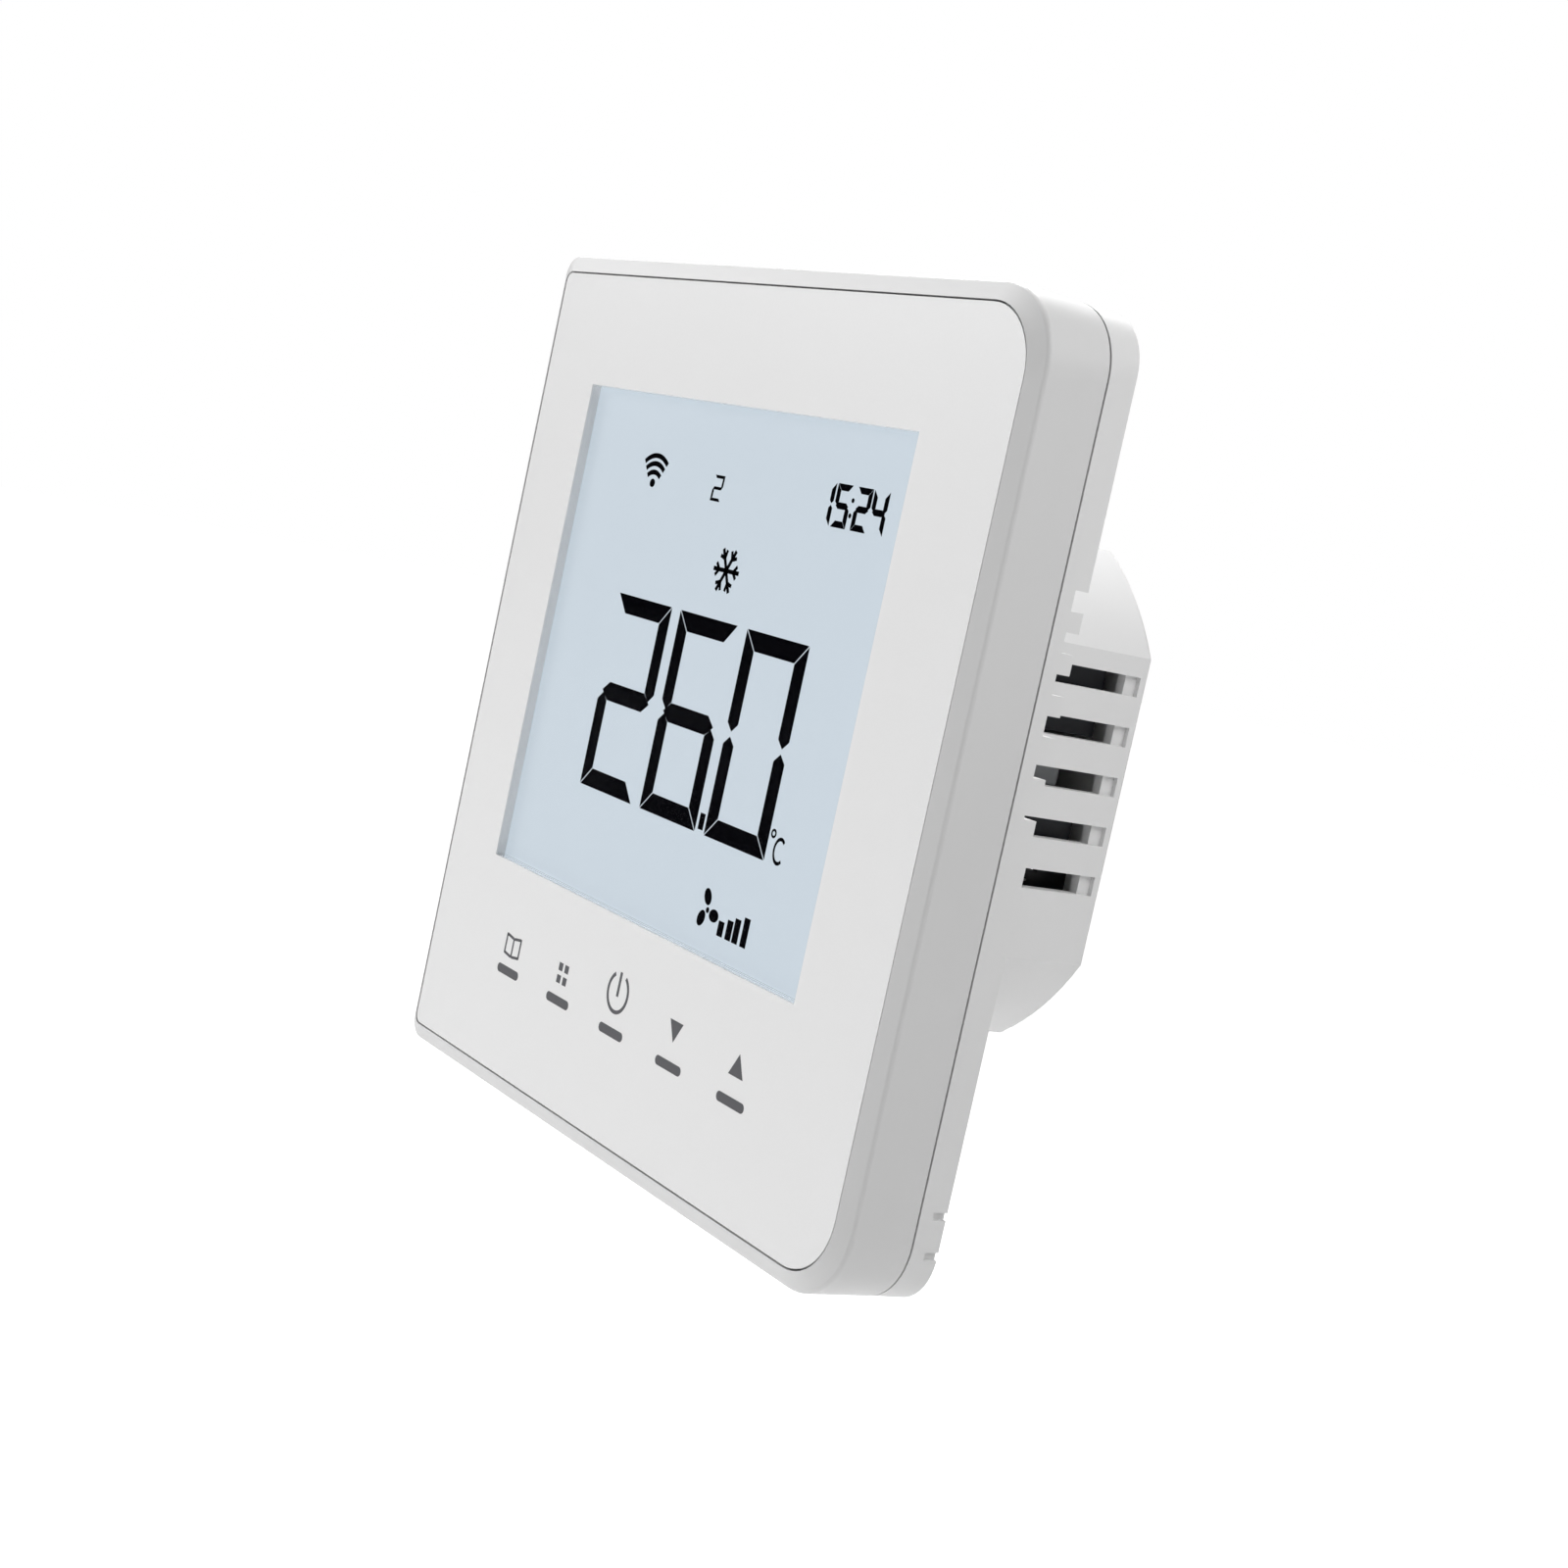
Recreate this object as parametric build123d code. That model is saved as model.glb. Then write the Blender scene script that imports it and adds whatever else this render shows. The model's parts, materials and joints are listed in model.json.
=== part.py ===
from build123d import *
import os

# Wall thermostat for a fan-coil room unit: a square display unit with touch keys that snaps
# onto a wall-mounted base, whose power box sits inside the flush wall box.
# +X right, +Y into the wall, +Z up. The wall plane is Y = 0, the display faces -Y.

os.makedirs("parts", exist_ok=True)

# ---- driving dimensions, mm --------------------------------------------------------------
HALF = 43.0                 # half the width and height of the square front
R_LEFT, R_RIGHT = 2.0, 7.5  # corner radii at the bezel's edge
PARTING_R, PARTING_DROP = 6.3, 0.3   # right corners, and how far top and bottom draw in
REAR_R, REAR_DROP = 5.0, 0.6         # the same at the wall
FRONT = -9.9                # front edge of the bezel, round the panel
BEZEL_EDGE = -9.1           # outer edge of the sloping bezel
PARTING = -2.95             # rear edge of the display unit
SHELL = 2.0                 # wall of the display unit
PANEL_HALF = 41.08
PANEL_R_LEFT, PANEL_R_RIGHT = 1.0, 6.0
PANEL_GAP = 0.17            # gap round the panel
PANEL_T, TAPE_T, WEB_T = 1.2, 0.15, 1.2
PANEL_FACE = FRONT + 0.05   # the panel lies a hair behind that edge

BASE_FRONT = -2.75          # front face of the base plate
FLOOR_BACK = -1.35          # rear face of its floor, which the rim holds off the wall
RIM = 1.8
BOX_HALF = 24.0             # half the width and height of the power box
BOX_R = 28.2                # radius that rounds the power box corners
BOX_DEPTH = 25.0            # how far the power box reaches into the wall
BOX_WALL = 1.6
REAR_WALL = 1.3
REAR_EDGE_R = 0.5
SCREW_PITCH = 60.0          # wall box fixing screws
SLOT_W, SLOT_L = 4.4, 7.4   # fixing slots, width and end-to-end length
VENT_HEIGHTS = (12.0, 7.2, 2.4, -2.4, -7.2)
VENT_W, VENT_Y = 1.85, (6.5, 22.6)
VENT_END, VENT_END_DEPTH = 24.0, 0.5     # a shallow recess carries each vent on
NOTCH_COUNT, NOTCH_FIRST, NOTCH_PITCH, NOTCH_W = 6, 1.2, 3.5, 1.75
LATCH_X, LATCH_Z = 20.0, 39.3

WINDOW_X = (-30.6, 28.6)    # display window
WINDOW_Z = (-20.1, 29.8)
KEY_COUNT, KEY_X0, KEY_PITCH, KEY_Z = 5, -22.8, 11.25, -29.0

BOARD_Y0, BOARD_Y1 = -5.0, -3.8      # control board
BOARD_HALF = 38.2
POST = 35.2                          # control board screws, both ways
POWER_Y0, POWER_Y1 = 5.2, 6.8        # power board
COVER_Y0, COVER_Y1 = 1.6, 2.8        # inner cover over the power board
BOARD_SQUARE, BOARD_ROUND = 22.1, 26.3   # both fit inside the power box
POWER_POSTS = ((17.6, 16.3), (-19.9, 8.4))

POLES, POLE_X0, POLE_PITCH = 8, -17.5, 5.0   # mains terminals
TERM_Z0, TERM_Z1, TERM_FACE = -16.5, -7.0, 21.0
SCREW_Z = -12.3                      # height of the terminal screw axes
CAGE_Y0, CAGE_Y1 = 10.8, 16.4        # a clamp cage when it is fully open
CAGE_TRAVEL = 2.3
BUSBAR_Y0, BUSBAR_Y1 = 14.2, 15.0
TAIL_Z = -8.5                        # terminal tails that pass through the power board
PLUG_Z = 12.5                        # height of the board-to-board connector
PIN_COLUMNS, PIN_PITCH, PIN_W = 5, 2.54, 0.64

CUT = 0.1                            # how far a cut or a joined boss runs past a face
BEYOND = 1.0                         # the same where there is room to spare

LIP = PANEL_HALF + PANEL_GAP
WEB_Y0 = FRONT + PANEL_T + TAPE_T    # web of the front housing, behind the panel
WEB_Y1 = WEB_Y0 + WEB_T
SCREW_X = (-SCREW_PITCH / 2, SCREW_PITCH / 2)
POST_SPOTS = [(x, z) for x in (-POST, POST) for z in (-POST, POST)]
POLE_X = [POLE_X0 + POLE_PITCH * i for i in range(POLES)]
KEY_X = [KEY_X0 + KEY_PITCH * i for i in range(KEY_COUNT)]


# ---- helpers -----------------------------------------------------------------------------
def span(middle, size):
    """The two ends of a length about its middle."""
    return middle - size / 2, middle + size / 2


def grown(ends, by):
    """Two ends, each moved outwards."""
    return ends[0] - by, ends[1] + by


def block(x, y, z):
    """A box between the ends given along each axis."""
    size = Box(x[1] - x[0], y[1] - y[0], z[1] - z[0])
    return Pos((x[0] + x[1]) / 2, (y[0] + y[1]) / 2, (z[0] + z[1]) / 2) * size


def rod(x, z, r, y0, y1):
    """A round bar along Y."""
    return Pos(x, (y0 + y1) / 2, z) * Rot(90, 0, 0) * Cylinder(r, y1 - y0)


def facing(y):
    """A plane at one depth whose sketch axes are X and Z."""
    return Plane(origin=(0, y, 0), x_dir=(1, 0, 0), z_dir=(0, -1, 0))


def slab(sketch, y0, y1):
    """A sketch drawn in X and Z, as thick as y0 to y1."""
    return extrude(facing(y1) * sketch, amount=y1 - y0)


def outline(half, r_left, r_right, drop=0):
    """The square front outline, with its own corner radius on each side, and less high by a drop."""
    sketch = Rectangle(2 * half, 2 * (half - drop))
    sketch = fillet(sketch.vertices().group_by(Axis.X)[-1], r_right)
    return fillet(sketch.vertices().group_by(Axis.X)[0], r_left)


def box_section(half, r):
    """The power box section: a square whose corners are rounded to one circle."""
    return Rectangle(2 * half, 2 * half) & Circle(r)


def rect(x, z):
    """A rectangle sketch between the ends given."""
    return Pos((x[0] + x[1]) / 2, (z[0] + z[1]) / 2) * Rectangle(x[1] - x[0], z[1] - z[0])


def pair(shape, plane):
    """A shape and its mirror image."""
    return [shape, shape.mirror(plane)]


def rear_edges(solid):
    """The edges of a solid's rearmost face."""
    return solid.edges().group_by(Axis.Y)[-1]


def cross_slot(x, z, length, width, y):
    """A cross recess for a screw head."""
    return [
        block(span(x, length), y, span(z, width)),
        block(span(x, width), y, span(z, length)),
    ]


def save(shape, node):
    """Write one node."""
    export_step(shape, f"parts/{node}.step")


def save_group(solids, node):
    """Write several like solids as one node."""
    save(Compound(children=list(solids)), node)


# ---- rear housing: base plate and power box, one moulding --------------------------------
PAD_X, PAD_HALF = (23.5, 36.5), 6.0          # thick pads round the fixing slots
RIB_X, RIB_T, RIB_Z0 = (-34.0, -12.0, 12.0, 34.0), 1.2, 15.0
RIB_BACK = -0.1
HEAD_W, HEAD_DEPTH = 9.0, 0.9                # counterbore for the screw heads
REAR_WINDOW = ((-20.0, 20.0), (-23.0, -6.7))
TROUGH_TOP = -17.4
BOSS_R, BOSS_HOLE_R, BOSS_HOLE_DEPTH = 2.2, 1.25, 9.0
MARK_STEPS, MARK_W, MARK_DEPTH = (10, 11), 0.7, 0.35
MARK_Y = (-1.4, 2 * CUT)
LATCH_OPENING = (9.2, 2.4)


def base_plate():
    """The plate with its rim, the pads round the slots and the ribs behind it."""
    front = facing(BASE_FRONT) * outline(HALF, R_LEFT, PARTING_R, PARTING_DROP)
    plate = loft([front, facing(0) * outline(HALF, R_LEFT, REAR_R, REAR_DROP)])
    plate -= slab(outline(HALF - RIM, 0.6, REAR_R - RIM), FLOOR_BACK, BEYOND)
    plate += pair(block(PAD_X, (FLOOR_BACK, 0), (-PAD_HALF, PAD_HALF)), Plane.YZ)
    for x in RIB_X:
        plate += pair(block(span(x, RIB_T), (FLOOR_BACK, RIB_BACK), (RIB_Z0, HALF - RIM)), Plane.XY)
    return plate


def power_box():
    """The box's outside and its inside."""
    outside = slab(box_section(BOX_HALF, BOX_R), BASE_FRONT, BOX_DEPTH)
    outside = fillet(rear_edges(outside), REAR_EDGE_R)
    section = box_section(BOX_HALF - BOX_WALL, BOX_R - BOX_WALL)
    return outside, slab(section, BASE_FRONT - BEYOND, BOX_DEPTH - REAR_WALL)


def wire_trough():
    """A shelf level with the power board, under the terminals."""
    section = box_section(BOX_HALF - BOX_WALL + CUT, BOX_R - BOX_WALL + CUT)
    return slab(section & rect((-BOX_R, BOX_R), (-BOX_R, TROUGH_TOP)), POWER_Y0, POWER_Y1)


def side_openings():
    """Vent grooves in the box, notches in the rim and two moulded marks, along both sides."""
    cuts = []
    outside = BOX_HALF + 2 * CUT
    for z in VENT_HEIGHTS:
        height = span(z, VENT_W)
        cuts += pair(block((BOX_HALF - BOX_WALL, outside), VENT_Y, height), Plane.YZ)
        recess = block((BOX_HALF - VENT_END_DEPTH, outside), (VENT_Y[1] - CUT, VENT_END), height)
        cuts += pair(recess, Plane.YZ)
    for i in range(NOTCH_COUNT):
        z = NOTCH_FIRST + NOTCH_PITCH * i
        x = (HALF - RIM - CUT, HALF + CUT)
        cuts += pair(block(x, (FLOOR_BACK, 2 * CUT), span(z, NOTCH_W)), Plane.YZ)
    for i in MARK_STEPS:
        z = NOTCH_FIRST - NOTCH_PITCH * i
        cuts.append(block((HALF - MARK_DEPTH, HALF + CUT), MARK_Y, span(z, MARK_W)))
    return cuts


def rear_housing():
    """Base plate and power box with all their openings."""
    outside, inside = power_box()
    housing = base_plate() + outside - inside
    window = rect(*REAR_WINDOW) & box_section(BOX_HALF - BOX_WALL, BOX_R - BOX_WALL)
    housing -= slab(window, BOX_DEPTH - REAR_WALL - CUT, BOX_DEPTH + BEYOND)
    housing += wire_trough()
    for x, z in POWER_POSTS:
        housing += rod(x, z, BOSS_R, POWER_Y1, BOX_DEPTH - REAR_WALL + CUT)
        housing -= rod(x, z, BOSS_HOLE_R, POWER_Y1 - CUT, POWER_Y1 + BOSS_HOLE_DEPTH)
    housing -= side_openings()
    for x in SCREW_X:
        slot = Pos(x, 0) * SlotOverall(SLOT_L, SLOT_W)
        head = Pos(x, 0) * SlotOverall(SLOT_L + 2.6, HEAD_W)
        housing -= slab(slot, BASE_FRONT - CUT, CUT)
        housing -= slab(head, BASE_FRONT - CUT, BASE_FRONT + HEAD_DEPTH)
    for x in (-LATCH_X, LATCH_X):
        for z in (-LATCH_Z, LATCH_Z):
            depth = (BASE_FRONT - CUT, FLOOR_BACK + CUT)
            housing -= block(span(x, LATCH_OPENING[0]), depth, span(z, LATCH_OPENING[1]))
    return housing


save(rear_housing(), "rear_housing")

# ---- inner cover and its screws ----------------------------------------------------------
COVER_WINDOW_W, COVER_WINDOW_Z = 14.8, (9.0, 16.0)    # clears the connector
COVER_SLOTS, COVER_SLOT_Z0, COVER_SLOT_PITCH = 5, -13.2, 4.0
COVER_SLOT_W, COVER_SLOT_H = 28.0, 1.6
COVER_SCREW_TIP = 14.0


def inner_cover():
    """A slotted lid that keeps fingers off the power board."""
    cover = slab(box_section(BOARD_SQUARE, BOARD_ROUND), COVER_Y0, COVER_Y1)
    through = (COVER_Y0 - BEYOND, COVER_Y1 + BEYOND)
    cover -= block(span(0, COVER_WINDOW_W), through, COVER_WINDOW_Z)
    for x, z in POWER_POSTS:
        cover += rod(x, z, BOSS_R, COVER_Y1, POWER_Y0)
        cover -= rod(x, z, BOSS_HOLE_R, COVER_Y0 - BEYOND, POWER_Y0 + BEYOND)
    for i in range(COVER_SLOTS):
        z = COVER_SLOT_Z0 + COVER_SLOT_PITCH * i
        cover -= block(span(0, COVER_SLOT_W), through, span(z, COVER_SLOT_H))
    return cover


def cover_screw(x, z):
    """A self-tapping screw through the cover and the power board."""
    screw = rod(x, z, 2.1, COVER_Y0 - 1.5, COVER_Y0) + rod(x, z, 1.15, COVER_Y0, COVER_SCREW_TIP)
    return screw - cross_slot(x, z, 2.6, 0.5, (COVER_Y0 - 1.6, COVER_Y0 - 0.8))


save(inner_cover(), "inner_cover")
save_group([cover_screw(x, z) for x, z in POWER_POSTS], "cover_screws")

# ---- power board -------------------------------------------------------------------------
POWER_BOARD_Z0 = -17.2


def power_board():
    """The board in the power box, with its screw and terminal holes."""
    section = box_section(BOARD_SQUARE, BOARD_ROUND) & rect((-BOX_R, BOX_R), (POWER_BOARD_Z0, BOX_R))
    board = slab(section, POWER_Y0, POWER_Y1)
    for x, z in POWER_POSTS:
        board -= rod(x, z, 1.35, POWER_Y0 - BEYOND, POWER_Y1 + BEYOND)
    for x in POLE_X:
        board -= rod(x, TAIL_Z, 0.75, POWER_Y0 - BEYOND, POWER_Y1 + BEYOND)
    return board


save(power_board(), "power_board")

# ---- mains terminals ---------------------------------------------------------------------
TERM_HALF = 20.3
END_WALL, END_TOP = 0.65, -6.6       # the block's end walls reach the rear wall
CAGE_W, CAGE_Z = 4.0, (-14.6, -10.0)
CAGE_INSIDE_W, CAGE_INSIDE_Y = 2.7, (11.5, 15.2)
CAGE_ROOM = 0.1                      # clearance round a cage in its chamber
WIRE_ENTRY_W, WIRE_ENTRY_Y = 3.2, (11.4, 14.1)
SHANK_R, HEAD_R, THREAD_GAP = 1.5, 1.9, 0.06
HEAD_Y0, HEAD_Y1 = 19.0, 20.6


def pole_openings(x):
    """What is cut out of the block for one pole."""
    chamber_y = (CAGE_Y0 - 2 * CAGE_ROOM, CAGE_Y1 + CAGE_TRAVEL + CAGE_ROOM)
    return [
        block(span(x, CAGE_W + 2 * CAGE_ROOM), chamber_y, grown(CAGE_Z, CAGE_ROOM)),
        block(span(x, WIRE_ENTRY_W), WIRE_ENTRY_Y, (TERM_Z0 - CUT, CAGE_Z[0])),
        rod(x, SCREW_Z, HEAD_R + 0.1, chamber_y[1] - CUT, TERM_FACE + CUT),
        block(span(x, 2.3), grown((BUSBAR_Y0, BUSBAR_Y1), 0.05), (CAGE_Z[1], TAIL_Z + 0.55)),
        block(span(x, 1.1), (POWER_Y1 - CUT, BUSBAR_Y0), span(TAIL_Z, 0.9)),
    ]


def contact(x):
    """A busbar over the wire, with its tail through the power board."""
    bar = block(span(x, 2.2), (BUSBAR_Y0, BUSBAR_Y1), (CAGE_Z[0] + 0.3, TAIL_Z + 0.4))
    return bar + block(span(x, 1.0), (POWER_Y0 - 1, BUSBAR_Y0), span(TAIL_Z, 0.8))


def terminal_screw(x):
    """A terminal screw with a combined slot and cross in its head."""
    screw = rod(x, SCREW_Z, HEAD_R, HEAD_Y0, HEAD_Y1) + rod(x, SCREW_Z, SHANK_R, BUSBAR_Y1 + 0.1, HEAD_Y0)
    screw -= block(span(x, 3.0), (HEAD_Y1 - 0.9, HEAD_Y1 + CUT), span(SCREW_Z, 0.6))
    screw -= block(span(x, 0.5), (HEAD_Y1 - 0.7, HEAD_Y1 + CUT), span(SCREW_Z, 2.6))
    return screw


def clamp_cage(x):
    """The cage that the screw pulls up, grooved inside so that it rises past the screw's tip."""
    cage = block(span(x, CAGE_W), (CAGE_Y0, CAGE_Y1), CAGE_Z)
    cage -= block(span(x, CAGE_INSIDE_W), CAGE_INSIDE_Y, grown(CAGE_Z, CUT))
    groove_y0 = CAGE_INSIDE_Y[1] - CAGE_TRAVEL - 2 * CUT
    return cage - rod(x, SCREW_Z, SHANK_R + THREAD_GAP, groove_y0, CAGE_Y1 + CUT)


terminal = block((-TERM_HALF, TERM_HALF), (POWER_Y1, TERM_FACE), (TERM_Z0, TERM_Z1))
terminal = chamfer(rear_edges(terminal).filter_by(Axis.X), 0.6)
end_y = (TERM_FACE - 1, BOX_DEPTH - REAR_WALL - CUT)
terminal += pair(block((TERM_HALF - END_WALL, TERM_HALF), end_y, (TERM_Z0, END_TOP)), Plane.YZ)
for pole in POLE_X:
    terminal -= pole_openings(pole)
save(terminal, "terminal_block")
save_group([contact(x) for x in POLE_X], "terminal_contacts")
for number, pole in enumerate(POLE_X, start=1):
    save(terminal_screw(pole), f"terminal_screw_{number}")
    save(clamp_cage(pole), f"clamp_cage_{number}")

# ---- parts on the power board ------------------------------------------------------------
RELAY_H = 15.3
RELAYS = (
    ((1.0, 21.5), (-6.3, 0.9)),
    ((1.0, 21.5), (6.5, 13.7)),
    ((-5.5, 15.0), (14.1, 21.3)),
    ((-6.7, 0.5), (-6.5, 13.9)),
)
CANS = ((-16.2, 14.6, 4.0, 12.0), (-8.9, 17.6, 3.15, 11.0))   # x, z, radius, height
VARISTOR = (-9.5, 12.3)
CORE_X, CORE_Y, CORE_Z = (-21.0, -7.9), (9.0, 19.6), (-3.4, 2.8)
CORE_OPENING_X, CORE_OPENING_Y = (-18.7, -10.2), (10.9, 17.7)
CORE_LEG_X = (-16.0, -12.9)


def relay(x, z):
    """A closed relay case with softened edges round its top."""
    body = block(x, (POWER_Y1, POWER_Y1 + RELAY_H), z)
    return fillet(rear_edges(body), 0.35)


def electrolytic_can(x, z, r, height):
    """A capacitor can whose sleeve leaves a shallow round end."""
    can = rod(x, z, r, POWER_Y1, POWER_Y1 + height)
    can = fillet(rear_edges(can), 0.5)
    return can - rod(x, z, r - 0.9, POWER_Y1 + height - 0.2, POWER_Y1 + height + CUT)


def moulded(x, y, z, r):
    """A moulded block whose edges along Y are rounded."""
    body = block(x, y, z)
    return fillet(body.edges().filter_by(Axis.Y), r)


def varistor(x, z):
    """A disc that stands on two legs."""
    disc = Pos(x, 10.4, z) * Cylinder(2.5, 3.0)
    for side in (-1.3, 1.3):
        disc += rod(x + side, z, 0.3, POWER_Y1, 8.6)
    return disc


save_group([relay(x, z) for x, z in RELAYS], "relays")
film = moulded((8.7, 21.7), (POWER_Y1, 18.9), (1.2, 6.2), 0.5)
save(fillet(rear_edges(film), 0.35), "film_capacitor")
save_group([electrolytic_can(*can) for can in CANS], "electrolytic_capacitors")
save(moulded((-16.0, -7.6), (POWER_Y1, 14.8), (6.2, 10.2), 0.4), "fuse")
save(varistor(*VARISTOR), "varistor")

save(moulded((-21.3, -7.6), (POWER_Y1, 8.8), (-6.4, 5.8), 0.5), "transformer_bobbin")
core = block(CORE_X, CORE_Y, CORE_Z)
core -= block(CORE_OPENING_X, CORE_OPENING_Y, grown(CORE_Z, CUT))
core += block(CORE_LEG_X, grown(CORE_OPENING_Y, CUT), CORE_Z)
save(core, "transformer_core")
winding = moulded(grown(CORE_OPENING_X, -0.1), grown(CORE_OPENING_Y, -0.2), (-6.0, 5.4), 1.5)
winding -= block(grown(CORE_LEG_X, 0.1), CORE_OPENING_Y, grown(CORE_Z, CUT))
save(winding, "transformer_winding")

power_chips = [
    block((-16.0, -11.2), (3.2, POWER_Y0), (-4.0, 0.0)),
    block((-4.0, 1.0), (3.7, POWER_Y0), (-3.0, 1.0)),
]
for i in range(4):
    power_chips.append(block(span(7.3 + 3.4 * i, 2.6), (3.4, POWER_Y0), (-2.0, 2.2)))
save_group(power_chips, "power_board_chips")

# ---- board-to-board connector ------------------------------------------------------------
HEADER_H, HEADER_W, HEADER_L = 2.5, 5.08, 12.7
SOCKET_BACK, SOCKET_W, SOCKET_L = 1.2, 5.4, 13.2
SOCKET_HOLE, SOCKET_FLOOR, PIN_TIP = 1.2, -2.9, -2.6

header = block(span(0, HEADER_L), (POWER_Y0 - HEADER_H, POWER_Y0), span(PLUG_Z, HEADER_W))
socket = block(span(0, SOCKET_L), (BOARD_Y1, SOCKET_BACK), span(PLUG_Z, SOCKET_W))
pins = []
for column in range(PIN_COLUMNS):
    for row in (-0.5, 0.5):
        x = PIN_PITCH * (column - (PIN_COLUMNS - 1) / 2)
        z = PLUG_Z + PIN_PITCH * row
        through = (POWER_Y0 - HEADER_H - CUT, POWER_Y0 + CUT)
        header -= block(span(x, PIN_W), through, span(z, PIN_W))
        pins.append(block(span(x, PIN_W), (PIN_TIP, POWER_Y0), span(z, PIN_W)))
        hole = (SOCKET_FLOOR, SOCKET_BACK + CUT)
        socket -= block(span(x, SOCKET_HOLE), hole, span(z, SOCKET_HOLE))
save(header, "header_base")
save_group(pins, "header_pins")
save(socket, "header_socket")

# ---- front housing -----------------------------------------------------------------------
DISPLAY_OPENING = ((-33.3, 31.3), (-24.3, 32.3))
KEY_HOLE_R = 3.6
FRONT_POST_R, FRONT_POST_HOLE_R = 2.3, 1.05
TONGUE_W, TONGUE_Z, TONGUE_TIP = 8.0, (38.6, 40.0), -0.6
BARB_W = 5.0
PRY_NOTCH_W, PRY_NOTCH_DEPTH = 8.0, 1.6


def latch_tongue(x):
    """A snap tongue with a stiffening root and a barb near its tip."""
    tongue = block(span(x, TONGUE_W), (WEB_Y1 - CUT, TONGUE_TIP), TONGUE_Z)
    tongue += block(span(x, TONGUE_W), (WEB_Y1 - CUT, -4.0), (TONGUE_Z[1] - CUT, HALF - SHELL + CUT))
    return tongue + block(span(x, BARB_W), (-1.2, -0.7), (TONGUE_Z[1] - CUT, TONGUE_Z[1] + 0.2))


def front_housing():
    """The display unit's shell: sloping bezel, web behind the panel, posts and latches."""
    inner = outline(LIP, PANEL_R_LEFT + 0.1, PANEL_R_RIGHT + 0.1)
    outer = outline(HALF, R_LEFT, R_RIGHT)
    rear = outline(HALF, R_LEFT, PARTING_R, PARTING_DROP)
    front = loft([facing(BEZEL_EDGE) * outer, facing(PARTING) * rear])
    front += loft([facing(BEZEL_EDGE) * outer, facing(FRONT) * inner])
    front -= slab(inner, FRONT - BEYOND, WEB_Y0)
    front -= slab(outline(HALF - SHELL, 0.6, R_RIGHT - SHELL), WEB_Y1, PARTING + BEYOND)
    web = (WEB_Y0 - BEYOND, WEB_Y1 + BEYOND)
    front -= block(DISPLAY_OPENING[0], web, DISPLAY_OPENING[1])
    for x in KEY_X:
        front -= rod(x, KEY_Z, KEY_HOLE_R, *web)
    for x, z in POST_SPOTS:
        front += rod(x, z, FRONT_POST_R, WEB_Y1 - CUT, BOARD_Y0)
        front -= rod(x, z, FRONT_POST_HOLE_R, WEB_Y1 + 0.2, BOARD_Y0 + BEYOND)
    for x in (-LATCH_X, LATCH_X):
        front += pair(latch_tongue(x), Plane.XY)
    notch_z = (-HALF - CUT, -HALF + PRY_NOTCH_DEPTH)
    front -= block(span(0, PRY_NOTCH_W), (PARTING - 0.8, PARTING + CUT), notch_z)
    bezel_edge = front.edges().filter_by_position(Axis.Y, *span(BEZEL_EDGE, 0.02))
    return fillet(bezel_edge, 0.45)


save(front_housing(), "front_housing")

# ---- front panel, window, tape -----------------------------------------------------------
panel = slab(outline(PANEL_HALF, PANEL_R_LEFT, PANEL_R_RIGHT), PANEL_FACE, FRONT + PANEL_T)
panel -= block(WINDOW_X, (FRONT - BEYOND, FRONT + PANEL_T + BEYOND), WINDOW_Z)
save(panel, "front_panel")
save(block(WINDOW_X, grown((FRONT, FRONT + PANEL_T), -0.1), WINDOW_Z), "display_window")

tape = slab(outline(40.6, 0.8, 5.6), FRONT + PANEL_T, WEB_Y0)
tape -= block(grown(DISPLAY_OPENING[0], 0.3), (FRONT, 0), grown(DISPLAY_OPENING[1], 0.3))
for x in KEY_X:
    tape -= rod(x, KEY_Z, KEY_HOLE_R + 0.3, FRONT, 0)
save(tape, "panel_tape")

# ---- display -----------------------------------------------------------------------------
CELL_X, CELL_TOP = (-33.0, 31.0), 32.0
CELL_Y = (-8.6, -7.7, -6.8)          # front glass, back glass
CELL_LEDGE = (-22.5, -24.0)          # the back glass reaches lower, for its contacts
FRAME_T = 1.4
LAMP_X = (-21.0, -1.0, 19.0)

cell = block(CELL_X, CELL_Y[:2], (CELL_LEDGE[0], CELL_TOP))
cell += block(CELL_X, CELL_Y[1:], (CELL_LEDGE[1], CELL_TOP))
save(cell, "display_cell")
save(block(grown(CELL_X, -1.0), (CELL_Y[2] + 0.1, BOARD_Y0 - 0.2), (-22.0, 30.2)), "light_guide")

frame_inside = (grown(CELL_X, 0.2), grown((CELL_LEDGE[1], CELL_TOP), 0.2))
frame_y = (WEB_Y1 + 0.1, BOARD_Y0 - 0.05)
frame = block(grown(frame_inside[0], FRAME_T), frame_y, grown(frame_inside[1], FRAME_T))
frame -= block(frame_inside[0], grown(frame_y, BEYOND), frame_inside[1])
frame -= rod(-POST, POST, FRONT_POST_R + 0.3, *grown(frame_y, BEYOND))
save(frame, "display_frame")
save(block(grown(CELL_X, -2.0), (CELL_Y[2], BOARD_Y0), (-23.8, -22.5)), "display_connector")
lamps = [block(span(x, 3.2), (BOARD_Y0 - 1.2, BOARD_Y0), (30.5, 31.6)) for x in LAMP_X]
save_group(lamps, "backlight_lamps")

# ---- control board and what it carries ---------------------------------------------------
WALL_SCREW_ROOM = 5.3                # holes that clear the wall screws' heads
SPRING_R, SPRING_WIRE, SPRING_PITCH, SPRING_H = 2.3, 0.25, 0.9, 2.95


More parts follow.
